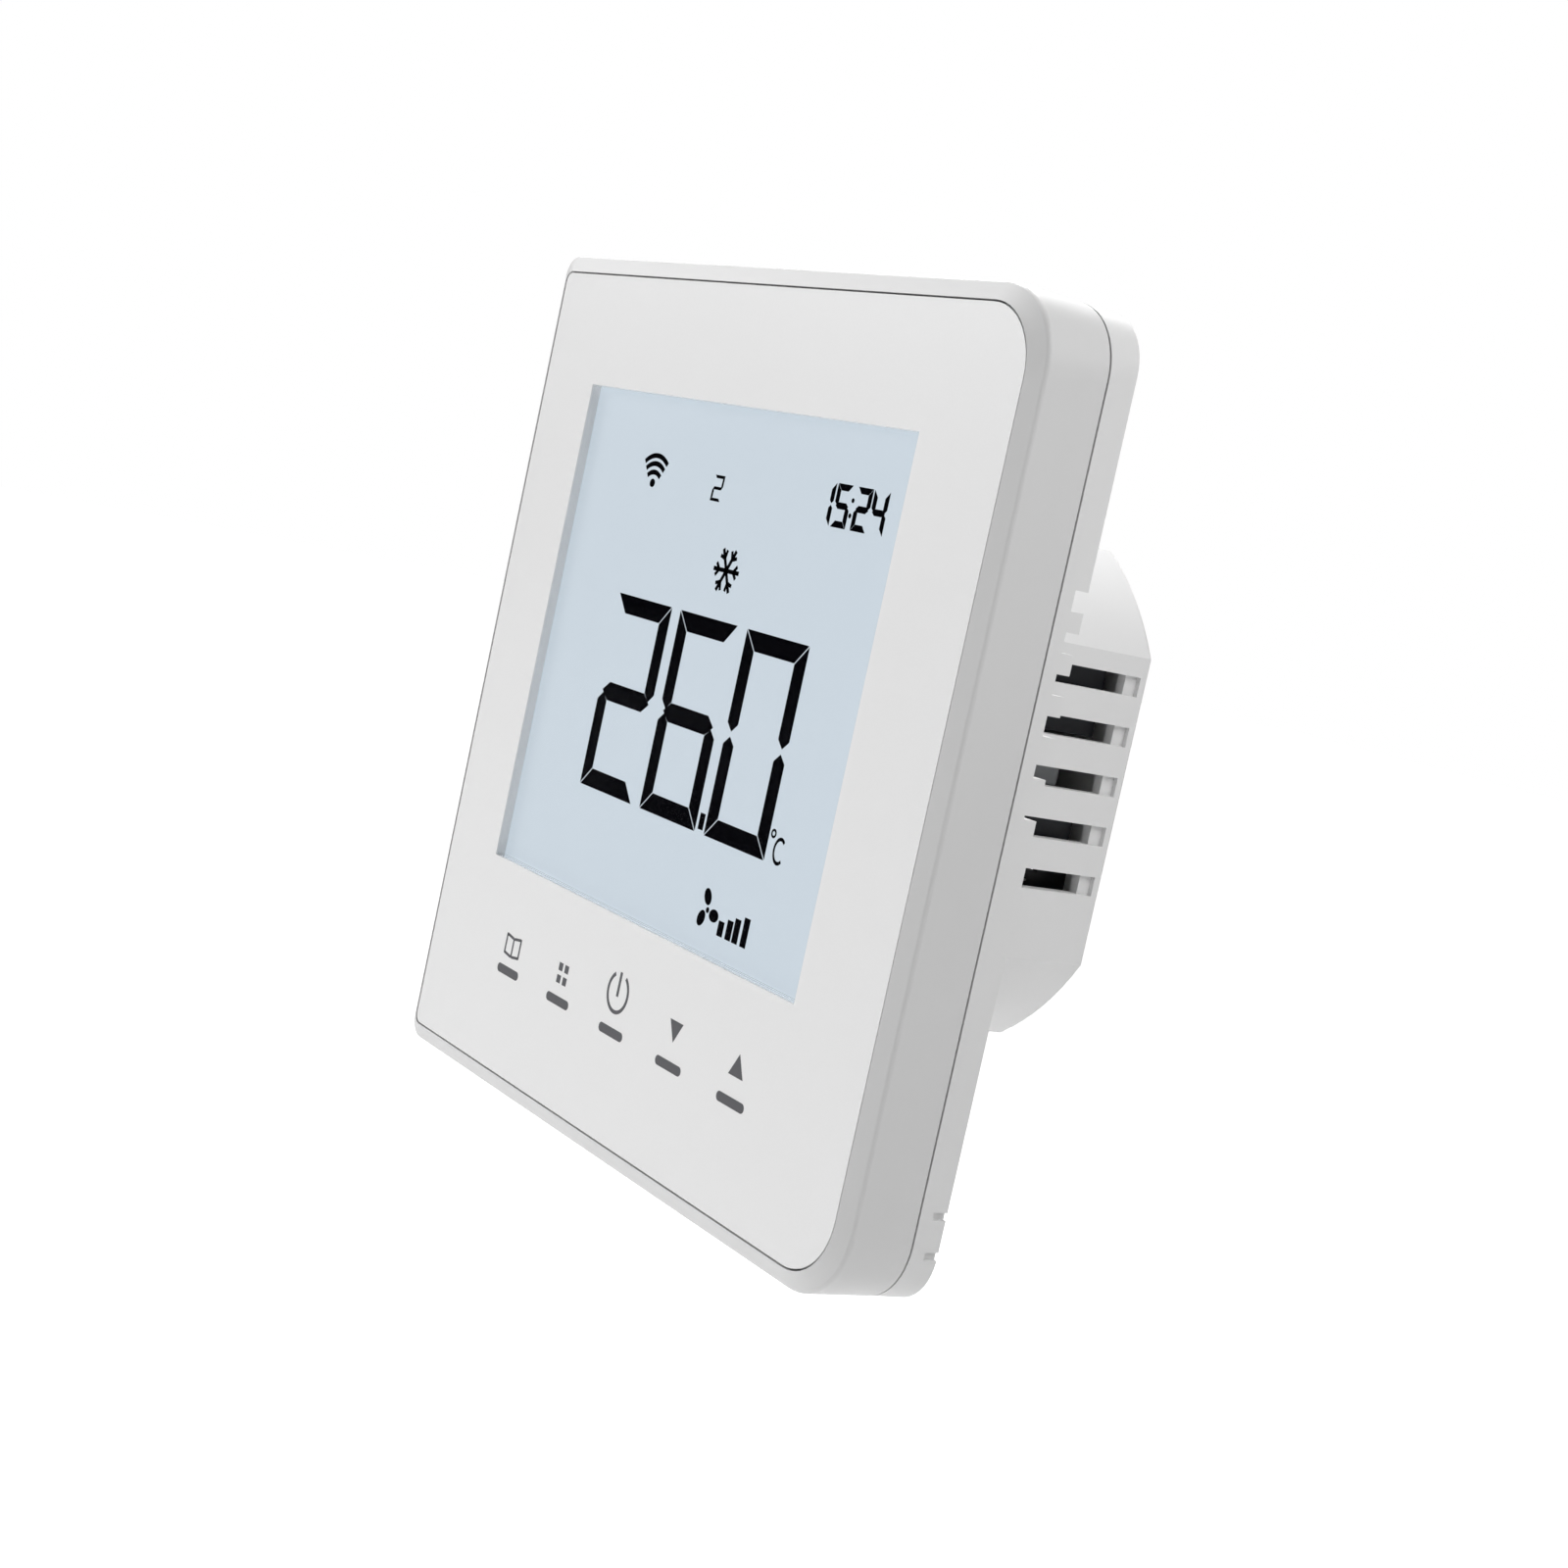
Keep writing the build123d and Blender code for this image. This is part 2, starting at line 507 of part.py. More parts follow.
def control_board():
    """The board with its screw holes and room for the wall screws."""
    board = slab(outline(BOARD_HALF, 1.0, 3.0), BOARD_Y0, BOARD_Y1)
    through = (BOARD_Y0 - BEYOND, BOARD_Y1 + BEYOND)
    for x in SCREW_X:
        board -= rod(x, 0, WALL_SCREW_ROOM, *through)
    for x, z in POST_SPOTS:
        board -= rod(x, z, 1.15, *through)
    return board


def board_screw(x, z):
    """A small screw into a post of the front housing."""
    screw = rod(x, z, 2.0, BOARD_Y1, BOARD_Y1 + 0.7) + rod(x, z, 1.0, -7.0, BOARD_Y1)
    return screw - cross_slot(x, z, 2.2, 0.4, (BOARD_Y1 + 0.3, BOARD_Y1 + BEYOND))


def touch_spring(x):
    """A coil that links a touch key's area to the board."""
    path = Helix(pitch=SPRING_PITCH, height=SPRING_H, radius=SPRING_R)
    path = Pos(x, BOARD_Y0 - 0.35, KEY_Z) * Rot(90, 0, 0) * path
    section = Plane(origin=path @ 0, z_dir=path % 0) * Circle(SPRING_WIRE)
    return sweep(section, path=path, is_frenet=True)


save(control_board(), "control_board")
save_group([board_screw(x, z) for x, z in POST_SPOTS], "board_screws")
save_group([touch_spring(x) for x in KEY_X], "touch_springs")

chip = block((4.0, 14.0), (BOARD_Y1, -2.3), (-9.0, 1.0))
save(chamfer(rear_edges(chip), 0.2), "microcontroller")
save(block((-20.0, -4.0), (BOARD_Y1, -3.0), (-16.0, 8.0)), "wireless_board")
shield = block((-19.0, -5.0), (-3.0, -0.8), (-15.0, 0.5))
save(fillet(rear_edges(shield), 0.4), "wireless_shield")
save(rod(12.0, -16.0, 4.5, BOARD_Y1, 0.7) - rod(12.0, -16.0, 1.0, 0.0, BEYOND), "buzzer")

CELL_SPOT, CLOCK_CELL_R, CLIP_W, CLIP_T = (-13.5, 14.8), 5.0, 4.0, 0.3
clip_z = grown(span(CELL_SPOT[1], 2 * CLOCK_CELL_R), 0.5)
clip = block(span(CELL_SPOT[0], CLIP_W), (-1.1, -1.1 + CLIP_T), clip_z)
for z in (clip_z[0] - CLIP_T / 2, clip_z[1] + CLIP_T / 2):
    clip += block(span(CELL_SPOT[0], CLIP_W), (BOARD_Y1, -1.1 + CLIP_T), span(z, CLIP_T))
save(rod(*CELL_SPOT, CLOCK_CELL_R, -3.6, -1.1), "clock_cell")
save(clip, "cell_clip")

SENSOR_SPOT, BEAD_R, BEAD_Y = (-20.0, -35.0), 0.95, -6.1
sensor = Pos(SENSOR_SPOT[0], BEAD_Y, SENSOR_SPOT[1]) * Sphere(BEAD_R)
for side in (-0.6, 0.6):
    sensor += rod(SENSOR_SPOT[0] + side, SENSOR_SPOT[1], 0.2, BEAD_Y, BOARD_Y0)
save(sensor, "temperature_sensor")

small_chips = []
for i in range(6):
    small_chips.append(block(span(-15.2 + 6.4 * i, 1.6), (BOARD_Y1, -3.1), (-26.0, -25.2)))
    small_chips.append(block(span(-13.2 + 5.6 * i, 1.6), (BOARD_Y1, -3.1), (27.0, 27.8)))
save_group(small_chips, "control_board_chips")
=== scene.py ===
# Looks of the wall thermostat: materials for every part, the display's signs, the printed keys,
# small electronics detail, and the studio with its camera. Metres, in the frame of the CAD model.
import json
import math

import bmesh
import bpy
from mathutils import Matrix, Vector


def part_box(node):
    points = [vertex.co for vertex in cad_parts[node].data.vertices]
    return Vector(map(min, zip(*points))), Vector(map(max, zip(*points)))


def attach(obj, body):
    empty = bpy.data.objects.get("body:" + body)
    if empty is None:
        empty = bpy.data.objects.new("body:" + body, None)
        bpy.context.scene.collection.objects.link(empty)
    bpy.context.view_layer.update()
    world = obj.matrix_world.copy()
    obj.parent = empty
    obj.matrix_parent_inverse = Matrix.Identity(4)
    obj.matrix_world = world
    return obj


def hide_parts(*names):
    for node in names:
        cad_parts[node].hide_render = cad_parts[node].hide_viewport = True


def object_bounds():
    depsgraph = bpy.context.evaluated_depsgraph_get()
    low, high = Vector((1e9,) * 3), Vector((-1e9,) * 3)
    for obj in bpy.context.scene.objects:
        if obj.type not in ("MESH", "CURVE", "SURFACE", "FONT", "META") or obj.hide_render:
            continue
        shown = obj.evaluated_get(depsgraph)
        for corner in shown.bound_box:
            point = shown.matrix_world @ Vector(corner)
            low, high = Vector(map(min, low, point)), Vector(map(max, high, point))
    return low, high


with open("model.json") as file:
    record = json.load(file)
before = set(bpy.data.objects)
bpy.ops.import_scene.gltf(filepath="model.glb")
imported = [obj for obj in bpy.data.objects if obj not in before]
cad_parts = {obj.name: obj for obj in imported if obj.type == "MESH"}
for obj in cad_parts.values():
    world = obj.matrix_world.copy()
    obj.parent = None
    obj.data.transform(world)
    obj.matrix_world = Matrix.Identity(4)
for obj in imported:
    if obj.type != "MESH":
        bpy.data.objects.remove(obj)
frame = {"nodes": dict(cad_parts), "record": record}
cad_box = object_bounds()
nodes = frame["nodes"]
slot_of = {part["node"]: part["material_slot"] for part in frame["record"]["subparts"]}

MM = 0.001
FRONT_BODY, BASE_BODY = "display_unit", "wall_base"


# ---- camera ------------------------------------------------------------------------------
CAMERA_PLACE = (0.20715, -0.13459, 0.01933)
CAMERA_RIGHT = Vector((0.5248, 0.8246, 0.2112))
CAMERA_FORWARD = Vector((-0.8284, 0.5518, -0.0961))
LENS_MM, SENSOR_MM = 59.01, 36.0


def add_camera():
    """The camera at the photograph's viewing angle, with its slight roll."""
    forward = CAMERA_FORWARD.normalized()
    right = (CAMERA_RIGHT - forward * CAMERA_RIGHT.dot(forward)).normalized()
    up = right.cross(forward)
    data = bpy.data.cameras.new("camera")
    data.lens = LENS_MM
    data.sensor_width = SENSOR_MM
    data.clip_start = 0.01
    camera = bpy.data.objects.new("camera", data)
    turn = Matrix((right, up, -forward)).transposed().to_4x4()
    camera.matrix_world = Matrix.Translation(CAMERA_PLACE) @ turn
    bpy.context.scene.collection.objects.link(camera)
    bpy.context.scene.camera = camera


# ---- node helpers ------------------------------------------------------------------------
class Shader:
    """A material under construction: one Principled shader and the nodes that feed it."""

    def __init__(self, name, color, roughness, metallic=0.0, ior=1.47):
        self.material = bpy.data.materials.new(name)
        self.material.use_nodes = True
        self.tree = self.material.node_tree
        self.principled = self.tree.nodes["Principled BSDF"]
        self.color = (*color, 1.0)
        self.set("Base Color", self.color)
        self.set("Roughness", roughness)
        self.set("Metallic", metallic)
        self.set("IOR", ior)
        self.place = self.node("ShaderNodeTexCoord").outputs["Object"]

    def node(self, kind, **settings):
        """A new node; settings name its properties, or its inputs with spaces as underscores."""
        new = self.tree.nodes.new(kind)
        for name, value in settings.items():
            if hasattr(new, name):
                setattr(new, name, value)
            else:
                new.inputs[name.replace("_", " ")].default_value = value
        return new

    def link(self, output, target):
        self.tree.links.new(output, target)

    def set(self, name, value):
        self.principled.inputs[name].default_value = value

    def scaled(self, stretch):
        """Object coordinates stretched along each axis."""
        mapping = self.node("ShaderNodeMapping")
        mapping.inputs["Scale"].default_value = stretch
        self.link(self.place, mapping.inputs["Vector"])
        return mapping.outputs["Vector"]

    def noise(self, scale, detail=3.0, stretch=None):
        """Noise over the object, scale in cells per metre."""
        texture = self.node("ShaderNodeTexNoise", Scale=scale, Detail=detail)
        self.link(self.scaled(stretch) if stretch else self.place, texture.inputs["Vector"])
        return texture.outputs["Fac"]

    def ramp(self, value, stops):
        """A colour ramp; stops are (place, grey or colour)."""
        ramp = self.node("ShaderNodeValToRGB")
        elements = ramp.color_ramp.elements
        while len(elements) < len(stops):
            elements.new(0.5)
        for element, (at, color) in zip(elements, stops):
            element.position = at
            element.color = (color, color, color, 1) if isinstance(color, float) else (*color, 1)
        self.link(value, ramp.inputs["Fac"])
        return ramp.outputs["Color"]

    def remap(self, value, low, high, from_low=0.0, from_high=1.0):
        remap = self.node("ShaderNodeMapRange")
        limits = {"From Min": from_low, "From Max": from_high, "To Min": low, "To Max": high}
        for name, number in limits.items():
            remap.inputs[name].default_value = number
        self.link(value, remap.inputs["Value"])
        return remap.outputs["Result"]

    def mix(self, factor, a, b):
        """Colour a where factor is 0, colour b where it is 1; both are colours or outputs."""
        mix = self.node("ShaderNodeMix", data_type="RGBA")
        self.link(factor, mix.inputs["Factor"])
        for socket, value in ((mix.inputs[6], a), (mix.inputs[7], b)):
            if isinstance(value, (tuple, list)):
                socket.default_value = (*value, 1)
            else:
                self.link(value, socket)
        return mix.outputs[2]

    def tint(self, value, amount):
        """Base colour that varies by +-amount with a value from 0 to 1."""
        base = self.color[:3]
        dark = tuple(c * (1 - amount) for c in base)
        light = tuple(min(1.0, c * (1 + amount)) for c in base)
        self.link(self.ramp(value, [(0.3, dark), (0.7, light)]), self.principled.inputs["Base Color"])

    def rough(self, value, low, high):
        self.link(self.remap(value, low, high, 0.3, 0.7), self.principled.inputs["Roughness"])

    def bump(self, height, strength, depth):
        """Surface relief, depth in metres."""
        bump = self.node("ShaderNodeBump", Strength=strength, Distance=depth)
        self.link(height, bump.inputs["Height"])
        self.link(bump.outputs["Normal"], self.principled.inputs["Normal"])


# ---- plastics ----------------------------------------------------------------------------
def moulded_plastic(name, color, roughness, grain=2600.0, relief=0.10):
    """Injection-moulded plastic: a fine spark-eroded grain and faint flow marks."""
    m = Shader(name, color, roughness)
    fine = m.noise(grain, 2.0)
    broad = m.noise(55.0, 2.0, stretch=(1.0, 1.0, 0.45))
    m.tint(broad, 0.018)
    m.rough(broad, roughness - 0.05, roughness + 0.05)
    m.bump(fine, relief, 0.02 * MM)
    return m.material


def gloss_panel(name, color):
    """Printed acrylic: satin smooth, with only the finest grain."""
    m = Shader(name, color, 0.38)
    skin = m.noise(5200.0, 2.0)
    m.tint(skin, 0.006)
    m.rough(m.noise(30.0, 1.0), 0.36, 0.40)
    m.bump(skin, 0.02, 0.004 * MM)
    return m.material


def clear_pane(name):
    """Clear acrylic bonded under an anti-reflection coat, which lets lamps through to the cell."""
    m = Shader(name, (0.97, 0.98, 0.99), 0.03, ior=1.03)
    m.set("Transmission Weight", 1.0)
    m.rough(m.noise(300.0, 2.0), 0.02, 0.05)
    path = m.node("ShaderNodeLightPath")
    clear = m.node("ShaderNodeBsdfTransparent")
    mix = m.node("ShaderNodeMixShader")
    through = m.node("ShaderNodeMath", operation="MAXIMUM")
    m.link(path.outputs["Is Shadow Ray"], through.inputs[0])
    m.link(path.outputs["Is Diffuse Ray"], through.inputs[1])
    m.link(through.outputs["Value"], mix.inputs["Fac"])
    m.link(m.principled.outputs["BSDF"], mix.inputs[1])
    m.link(clear.outputs["BSDF"], mix.inputs[2])
    m.link(mix.outputs["Shader"], m.tree.nodes["Material Output"].inputs["Surface"])
    return m.material


def display_glass(name, color, glow):
    """The lit cell: mostly its own even light, through a polariser with a fine grain."""
    m = Shader(name, color, 0.6)
    m.set("Specular IOR Level", 0.05)
    grain = m.noise(5200.0, 1.0)
    m.tint(grain, 0.02)
    m.bump(grain, 0.04, 0.004 * MM)
    m.set("Emission Color", (*glow, 1))
    m.link(m.remap(m.noise(24.0, 1.0), 0.985, 1.015), m.principled.inputs["Emission Strength"])
    return m.material


def milky_plastic(name, color):
    """Frosted light guide."""
    m = Shader(name, color, 0.35)
    m.set("Subsurface Weight", 0.2)
    m.set("Subsurface Radius", (0.002, 0.002, 0.002))
    dots = m.node("ShaderNodeTexVoronoi", Scale=900.0)
    m.link(m.place, dots.inputs["Vector"])
    m.tint(dots.outputs["Distance"], 0.03)
    m.bump(dots.outputs["Distance"], 0.2, 0.01 * MM)
    return m.material


def printed_ink(name, color, roughness=0.5, gloss=0.5):
    """Screen-printed ink with slightly uneven density."""
    m = Shader(name, color, roughness)
    m.set("Specular IOR Level", gloss)
    speckle = m.noise(3400.0, 2.0)
    m.tint(speckle, 0.06)
    m.rough(speckle, roughness - 0.08, roughness + 0.08)
    return m.material


def rubber(name, color, bands=0.0):
    """Soft rubber or foam; with bands, the stripes of a contact strip."""
    m = Shader(name, color, 0.85)
    pores = m.noise(3000.0, 4.0)
    m.tint(pores, 0.15)
    if bands:
        wave = m.node("ShaderNodeTexWave", Scale=bands, bands_direction="X")
        m.link(m.place, wave.inputs["Vector"])
        striped = m.mix(wave.outputs["Fac"], tuple(c * 0.35 for c in color), color)
        m.link(striped, m.principled.inputs["Base Color"])
    m.bump(pores, 0.3, 0.03 * MM)
    return m.material


# ---- electronics -------------------------------------------------------------------------
def circuit_board(name, color, trace_scale):
    """Solder mask over copper: paler tracks between plated holes."""
    m = Shader(name, color, 0.32)
    cells = m.node("ShaderNodeTexVoronoi", Scale=trace_scale, feature="DISTANCE_TO_EDGE", Randomness=0.55)
    m.link(m.scaled((1.0, 0.02, 1.0)), cells.inputs["Vector"])
    tracks = m.ramp(cells.outputs["Distance"], [(0.0, 1.0), (0.055, 1.0), (0.075, 0.0)])
    holes = m.node("ShaderNodeTexVoronoi", Scale=trace_scale * 0.55, Randomness=0.9)
    m.link(m.scaled((1.0, 0.02, 1.0)), holes.inputs["Vector"])
    plated = m.ramp(holes.outputs["Distance"], [(0.0, 1.0), (0.07, 1.0), (0.085, 0.0)])
    pale = tuple(min(1.0, c * 1.9 + 0.02) for c in color)
    masked = m.mix(tracks, color, pale)
    m.link(m.mix(plated, masked, (0.62, 0.60, 0.55)), m.principled.inputs["Base Color"])
    m.link(plated, m.principled.inputs["Metallic"])
    m.bump(tracks, 0.35, 0.02 * MM)
    return m.material


def chip_epoxy(name, color):
    """Moulded epoxy with a dull, faintly sparkling skin."""
    m = Shader(name, color, 0.55)
    skin = m.noise(6000.0, 3.0)
    m.tint(skin, 0.25)
    m.rough(skin, 0.45, 0.65)
    m.bump(skin, 0.15, 0.01 * MM)
    return m.material


def metal(name, color, roughness, stretch=(1.0, 14.0, 1.0), scratch=900.0, relief=0.12):
    """Plated or drawn metal with fine marks along one direction and mottled plating."""
    m = Shader(name, color, roughness, metallic=1.0)
    marks = m.noise(scratch, 3.0, stretch=stretch)
    mottle = m.noise(350.0, 2.0)
    m.tint(mottle, 0.08)
    m.rough(marks, roughness - 0.08, roughness + 0.12)
    m.bump(marks, relief, 0.01 * MM)
    return m.material


def wound_tape(name, color):
    """Tape wound round a coil, with the turns of wire showing as ridges."""
    m = Shader(name, color, 0.32)
    turns = m.node("ShaderNodeTexWave", Scale=420.0, bands_direction="Z", Distortion=0.6)
    m.link(m.place, turns.inputs["Vector"])
    m.tint(turns.outputs["Fac"], 0.10)
    m.bump(turns.outputs["Fac"], 0.5, 0.05 * MM)
    return m.material


def ferrite(name, color):
    """Ground ferrite: dark, sparkling and slightly porous."""
    m = Shader(name, color, 0.5, metallic=0.25)
    pores = m.noise(2400.0, 5.0)
    m.tint(pores, 0.35)
    m.rough(pores, 0.4, 0.65)
    m.bump(pores, 0.3, 0.02 * MM)
    return m.material


def dipped_epoxy(name, color):
    """Dipped coating with soft runs."""
    m = Shader(name, color, 0.3)
    runs = m.noise(500.0, 2.0, stretch=(1.0, 0.4, 1.0))
    m.tint(runs, 0.12)
    m.bump(runs, 0.35, 0.05 * MM)
    return m.material


def shrink_sleeve(name, color):
    """A shrink sleeve with faint wrinkles."""
    m = Shader(name, color, 0.28)
    wrinkle = m.noise(900.0, 2.0, stretch=(1.0, 3.0, 1.0))
    m.tint(wrinkle, 0.10)
    m.bump(wrinkle, 0.15, 0.02 * MM)
    return m.material


materials = {
    # front_shell and rear_shell are one white plastic in two copies: the front one's darker colour is
    # painted shade, the rear one's lighter colour is painted light.
    "front_shell": moulded_plastic("front_shell", (0.67, 0.67, 0.67), 0.42),
    "rear_shell": moulded_plastic("rear_shell", (0.74, 0.74, 0.74), 0.50),
    "panel_white": gloss_panel("panel_white", (0.84, 0.84, 0.84)),
    "window_clear": clear_pane("window_clear"),
    "tape": rubber("tape", (0.03, 0.03, 0.033)),
    "lcd": display_glass("lcd", (0.150, 0.155, 0.160), (0.472, 0.538, 0.594)),
    "light_guide": milky_plastic("light_guide", (0.88, 0.90, 0.92)),
    "display_frame": moulded_plastic("display_frame", (0.03, 0.03, 0.032), 0.55),
    "zebra_rubber": rubber("zebra_rubber", (0.50, 0.51, 0.53), bands=700.0),
    "lamp": dipped_epoxy("lamp", (0.90, 0.86, 0.62)),
    "board_green": circuit_board("board_green", (0.012, 0.11, 0.045), 420.0),
    "screw_steel": metal("screw_steel", (0.72, 0.72, 0.71), 0.30),
    "spring_steel": metal("spring_steel", (0.78, 0.77, 0.74), 0.22),
    "chip_black": chip_epoxy("chip_black", (0.018, 0.018, 0.020)),
    "module_board": circuit_board("module_board", (0.010, 0.018, 0.075), 700.0),
    "shield": metal("shield", (0.76, 0.76, 0.75), 0.28, stretch=(1.0, 1.0, 10.0)),
    "buzzer": moulded_plastic("buzzer", (0.022, 0.022, 0.022), 0.45),
    "cell": metal("cell", (0.80, 0.80, 0.79), 0.24, stretch=(8.0, 1.0, 1.0)),
    "sensor": dipped_epoxy("sensor", (0.03, 0.03, 0.035)),
    "connector_black": moulded_plastic("connector_black", (0.020, 0.020, 0.021), 0.50),
    "pin_gold": metal("pin_gold", (0.88, 0.68, 0.32), 0.22),
    "inner_cover": moulded_plastic("inner_cover", (0.74, 0.74, 0.73), 0.50),
    "terminal_black": moulded_plastic("terminal_black", (0.022, 0.022, 0.024), 0.42, grain=1800.0),
    "tinned_brass": metal("tinned_brass", (0.74, 0.71, 0.62), 0.35),
    "terminal_steel": metal("terminal_steel", (0.72, 0.68, 0.56), 0.30, stretch=(1.0, 1.0, 6.0)),
    "cage_brass": metal("cage_brass", (0.78, 0.72, 0.56), 0.33),
    "relay_black": moulded_plastic("relay_black", (0.022, 0.024, 0.030), 0.38),
    "film_grey": moulded_plastic("film_grey", (0.30, 0.31, 0.32), 0.45),
    "can_sleeve": shrink_sleeve("can_sleeve", (0.02, 0.022, 0.045)),
    "fuse_body": moulded_plastic("fuse_body", (0.06, 0.022, 0.014), 0.40),
    "varistor_blue": dipped_epoxy("varistor_blue", (0.02, 0.08, 0.30)),
    "bobbin": moulded_plastic("bobbin", (0.020, 0.020, 0.020), 0.50),
    "ferrite": ferrite("ferrite", (0.045, 0.045, 0.048)),
    "winding_tape": wound_tape("winding_tape", (0.72, 0.50, 0.06)),
}
LCD_INK = printed_ink("lcd_ink", (0.002, 0.002, 0.003), 0.6, gloss=0.0)
KEY_INK = printed_ink("key_ink", (0.092, 0.092, 0.100), 0.5, gloss=0.3)
PALE_INK = printed_ink("pale_ink", (0.55, 0.55, 0.54), 0.5)

for node, part in nodes.items():
    part.data.materials.clear()
    part.data.materials.append(materials[slot_of[node]])


# ---- building pieces ---------------------------------------------------------------------
def mesh_piece(name, bm, material, body):
    """A piece from a finished bmesh, riding on a body and finished as a material slot."""
    bmesh.ops.recalc_face_normals(bm, faces=bm.faces)
    mesh = bpy.data.meshes.new(name)
    bm.to_mesh(mesh)
    bm.free()
    mesh.materials.append(material)
    piece = bpy.data.objects.new(name, mesh)
    bpy.context.scene.collection.objects.link(piece)
    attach(piece, body)
    return piece


def prism(bm, profile, place, along):
    """A profile of points swept by a vector; place maps a profile point to metres."""
    near = [bm.verts.new(place(*point)) for point in profile]
    far = [bm.verts.new(place(*point) + along) for point in profile]
    bm.faces.new(near)
    bm.faces.new(far[::-1])
    for i in range(len(near)):
        j = (i + 1) % len(near)
        bm.faces.new((near[j], near[i], far[i], far[j]))


def flat_piece(name, outlines, y_front, thickness, material, body=FRONT_BODY):
    """Flat signs in a plane square to Y; each outline is a list of (x, z) in mm."""
    bm = bmesh.new()
    along = Vector((0, thickness, 0))
    for outline in outlines:
        prism(bm, outline, lambda x, z: Vector((x * MM, y_front, z * MM)), along)
    return mesh_piece(name, bm, material, body)


# ---- outlines, in mm ---------------------------------------------------------------------
def around(x, z, r, degrees):
    """The point at a distance and an angle from (x, z)."""
    a = math.radians(degrees)
    return x + r * math.cos(a), z + r * math.sin(a)


def oval(x, z, rx, rz=None, tilt=0.0, steps=28):
    """An ellipse, tilted in degrees."""
    rz = rz or rx
    cos, sin = math.cos(math.radians(tilt)), math.sin(math.radians(tilt))
    points = []
    for i in range(steps):
        a = math.tau * i / steps
        u, v = rx * math.cos(a), rz * math.sin(a)
        points.append((x + u * cos - v * sin, z + u * sin + v * cos))
    return points


def band(x, z, r, width, start, end, squeeze=1.0, steps=20):
    """Part of a ring about (x, z), from one angle to another in degrees; squeeze narrows it in x."""
    def arc(radius):
        turns = [math.radians(start + (end - start) * i / steps) for i in range(steps + 1)]
        return [(x + radius * squeeze * math.cos(a), z + radius * math.sin(a)) for a in turns]

    return arc(r + width / 2) + arc(r - width / 2)[::-1]


def stroke(x0, z0, x1, z1, width):
    """A straight stroke with square ends."""
    along = Vector((x1 - x0, z1 - z0)).normalized() * (width / 2)
    across = Vector((-along.y, along.x))
    corners = ((x0, z0, 1), (x0, z0, -1), (x1, z1, -1), (x1, z1, 1))
    return [(x + across.x * side, z + across.y * side) for x, z, side in corners]


def pill(x, z, length, height, steps=10):
    """A bar with round ends."""
    r = height / 2
    points = []
    for end, start in ((1, -90), (-1, 90)):
        middle = x + end * (length / 2 - r)
        points += [around(middle, z, r, start + 180 * i / steps) for i in range(steps + 1)]
    return points


def box_outline(x0, x1, z0, z1):
    return [(x0, z0), (x1, z0), (x1, z1), (x0, z1)]


SEGMENTS = {
    "0": "abcdef", "1": "bc", "2": "abged", "3": "abgcd", "4": "fgbc",
    "5": "afgcd", "6": "afgedc", "7": "abc", "8": "abcdefg",
}
TIP = 0.28                              # how far the middle segment's points reach in, in strokes
NOTCH = 0.08                            # the same for the upright segments


def seven_segment(digit, x, z, width, height, stroke_width, gap, slant=0.0):
    """The lit segments of one digit, whose lower left corner is at (x, z)."""
    w, h, t, g = width, height, stroke_width, gap
    m, half = h / 2, t / 2
    tip, notch = TIP * t + g, NOTCH * t + g
    shapes = {
        "a": [(g, h), (w - g, h), (w - t - g, h - t), (t + g, h - t)],
        "d": [(g, 0), (w - g, 0), (w - t - g, t), (t + g, t)],
        "g": [
            (tip, m), (t, m + half), (w - t, m + half),
            (w - tip, m), (w - t, m - half), (t, m - half),
        ],
        "f": [(0, h - g), (t, h - t - g), (t, m + half + g), (half, m + notch), (0, m + half + g)],
        "e": [(0, g), (t, t + g), (t, m - half - g), (half, m - notch), (0, m - half - g)],
    }
    shapes["b"] = [(w - u, v) for u, v in shapes["f"]]
    shapes["c"] = [(w - u, v) for u, v in shapes["e"]]
    return [[(x + u + slant * v, z + v) for u, v in shapes[s]] for s in SEGMENTS[digit]]


# ---- signs on the display ----------------------------------------------------------------
SIGN_T = 0.03 * MM
SUNK = 0.01 * MM                        # how far a sign is sunk into what carries it
CELL_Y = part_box("display_cell")[0].y - SIGN_T + SUNK
PANEL_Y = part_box("front_panel")[0].y - SUNK


def display_sign(name, outlines):
    flat_piece(name, outlines, CELL_Y, SIGN_T, LCD_INK)


def temperature():
    """Three big digits with a decimal point."""
    left, bottom, pitch = -18.1, -9.75, 12.45
    width, height, thick, gap = 10.75, 19.55, 1.85, 0.09
    outlines = []
    for i, digit in enumerate("260"):
        outlines += seven_segment(digit, left + pitch * i, bottom, width, height, thick, gap)
    outlines.append(box_outline(5.55, 6.45, bottom + 0.35, bottom + 1.9))
    display_sign("display_temperature", outlines)


def degree_sign():
    ring_x, ring_z, ring_r, ring_w = 18.25, -7.1, 0.32, 0.22
    outlines = [band(ring_x, ring_z, ring_r, ring_w, start, start + 180) for start in (0, 180)]
    outlines.append(band(19.65, -8.45, 1.1, 0.34, 48, 312, squeeze=0.78))
    display_sign("display_degree_sign", outlines)


def clock():
    """Hours and minutes, with the colon between them."""
    width, height, thick, gap, bottom = 2.4, 3.9, 0.60, 0.03, 20.5
    outlines = []
    for digit, x in (("1", 13.9), ("5", 16.55), ("2", 19.75), ("4", 22.35)):
        outlines += seven_segment(digit, x, bottom, width, height, thick, gap)
    outlines += [oval(19.3, z, 0.22) for z in (21.75, 23.1)]
    display_sign("display_clock", outlines)


def zone_digit():
    left, bottom, width, height, thick, gap = -4.65, 20.6, 1.8, 2.5, 0.30, 0.02
    outlines = seven_segment("2", left, bottom, width, height, thick, gap, slant=0.06)
    display_sign("display_zone_digit", outlines)


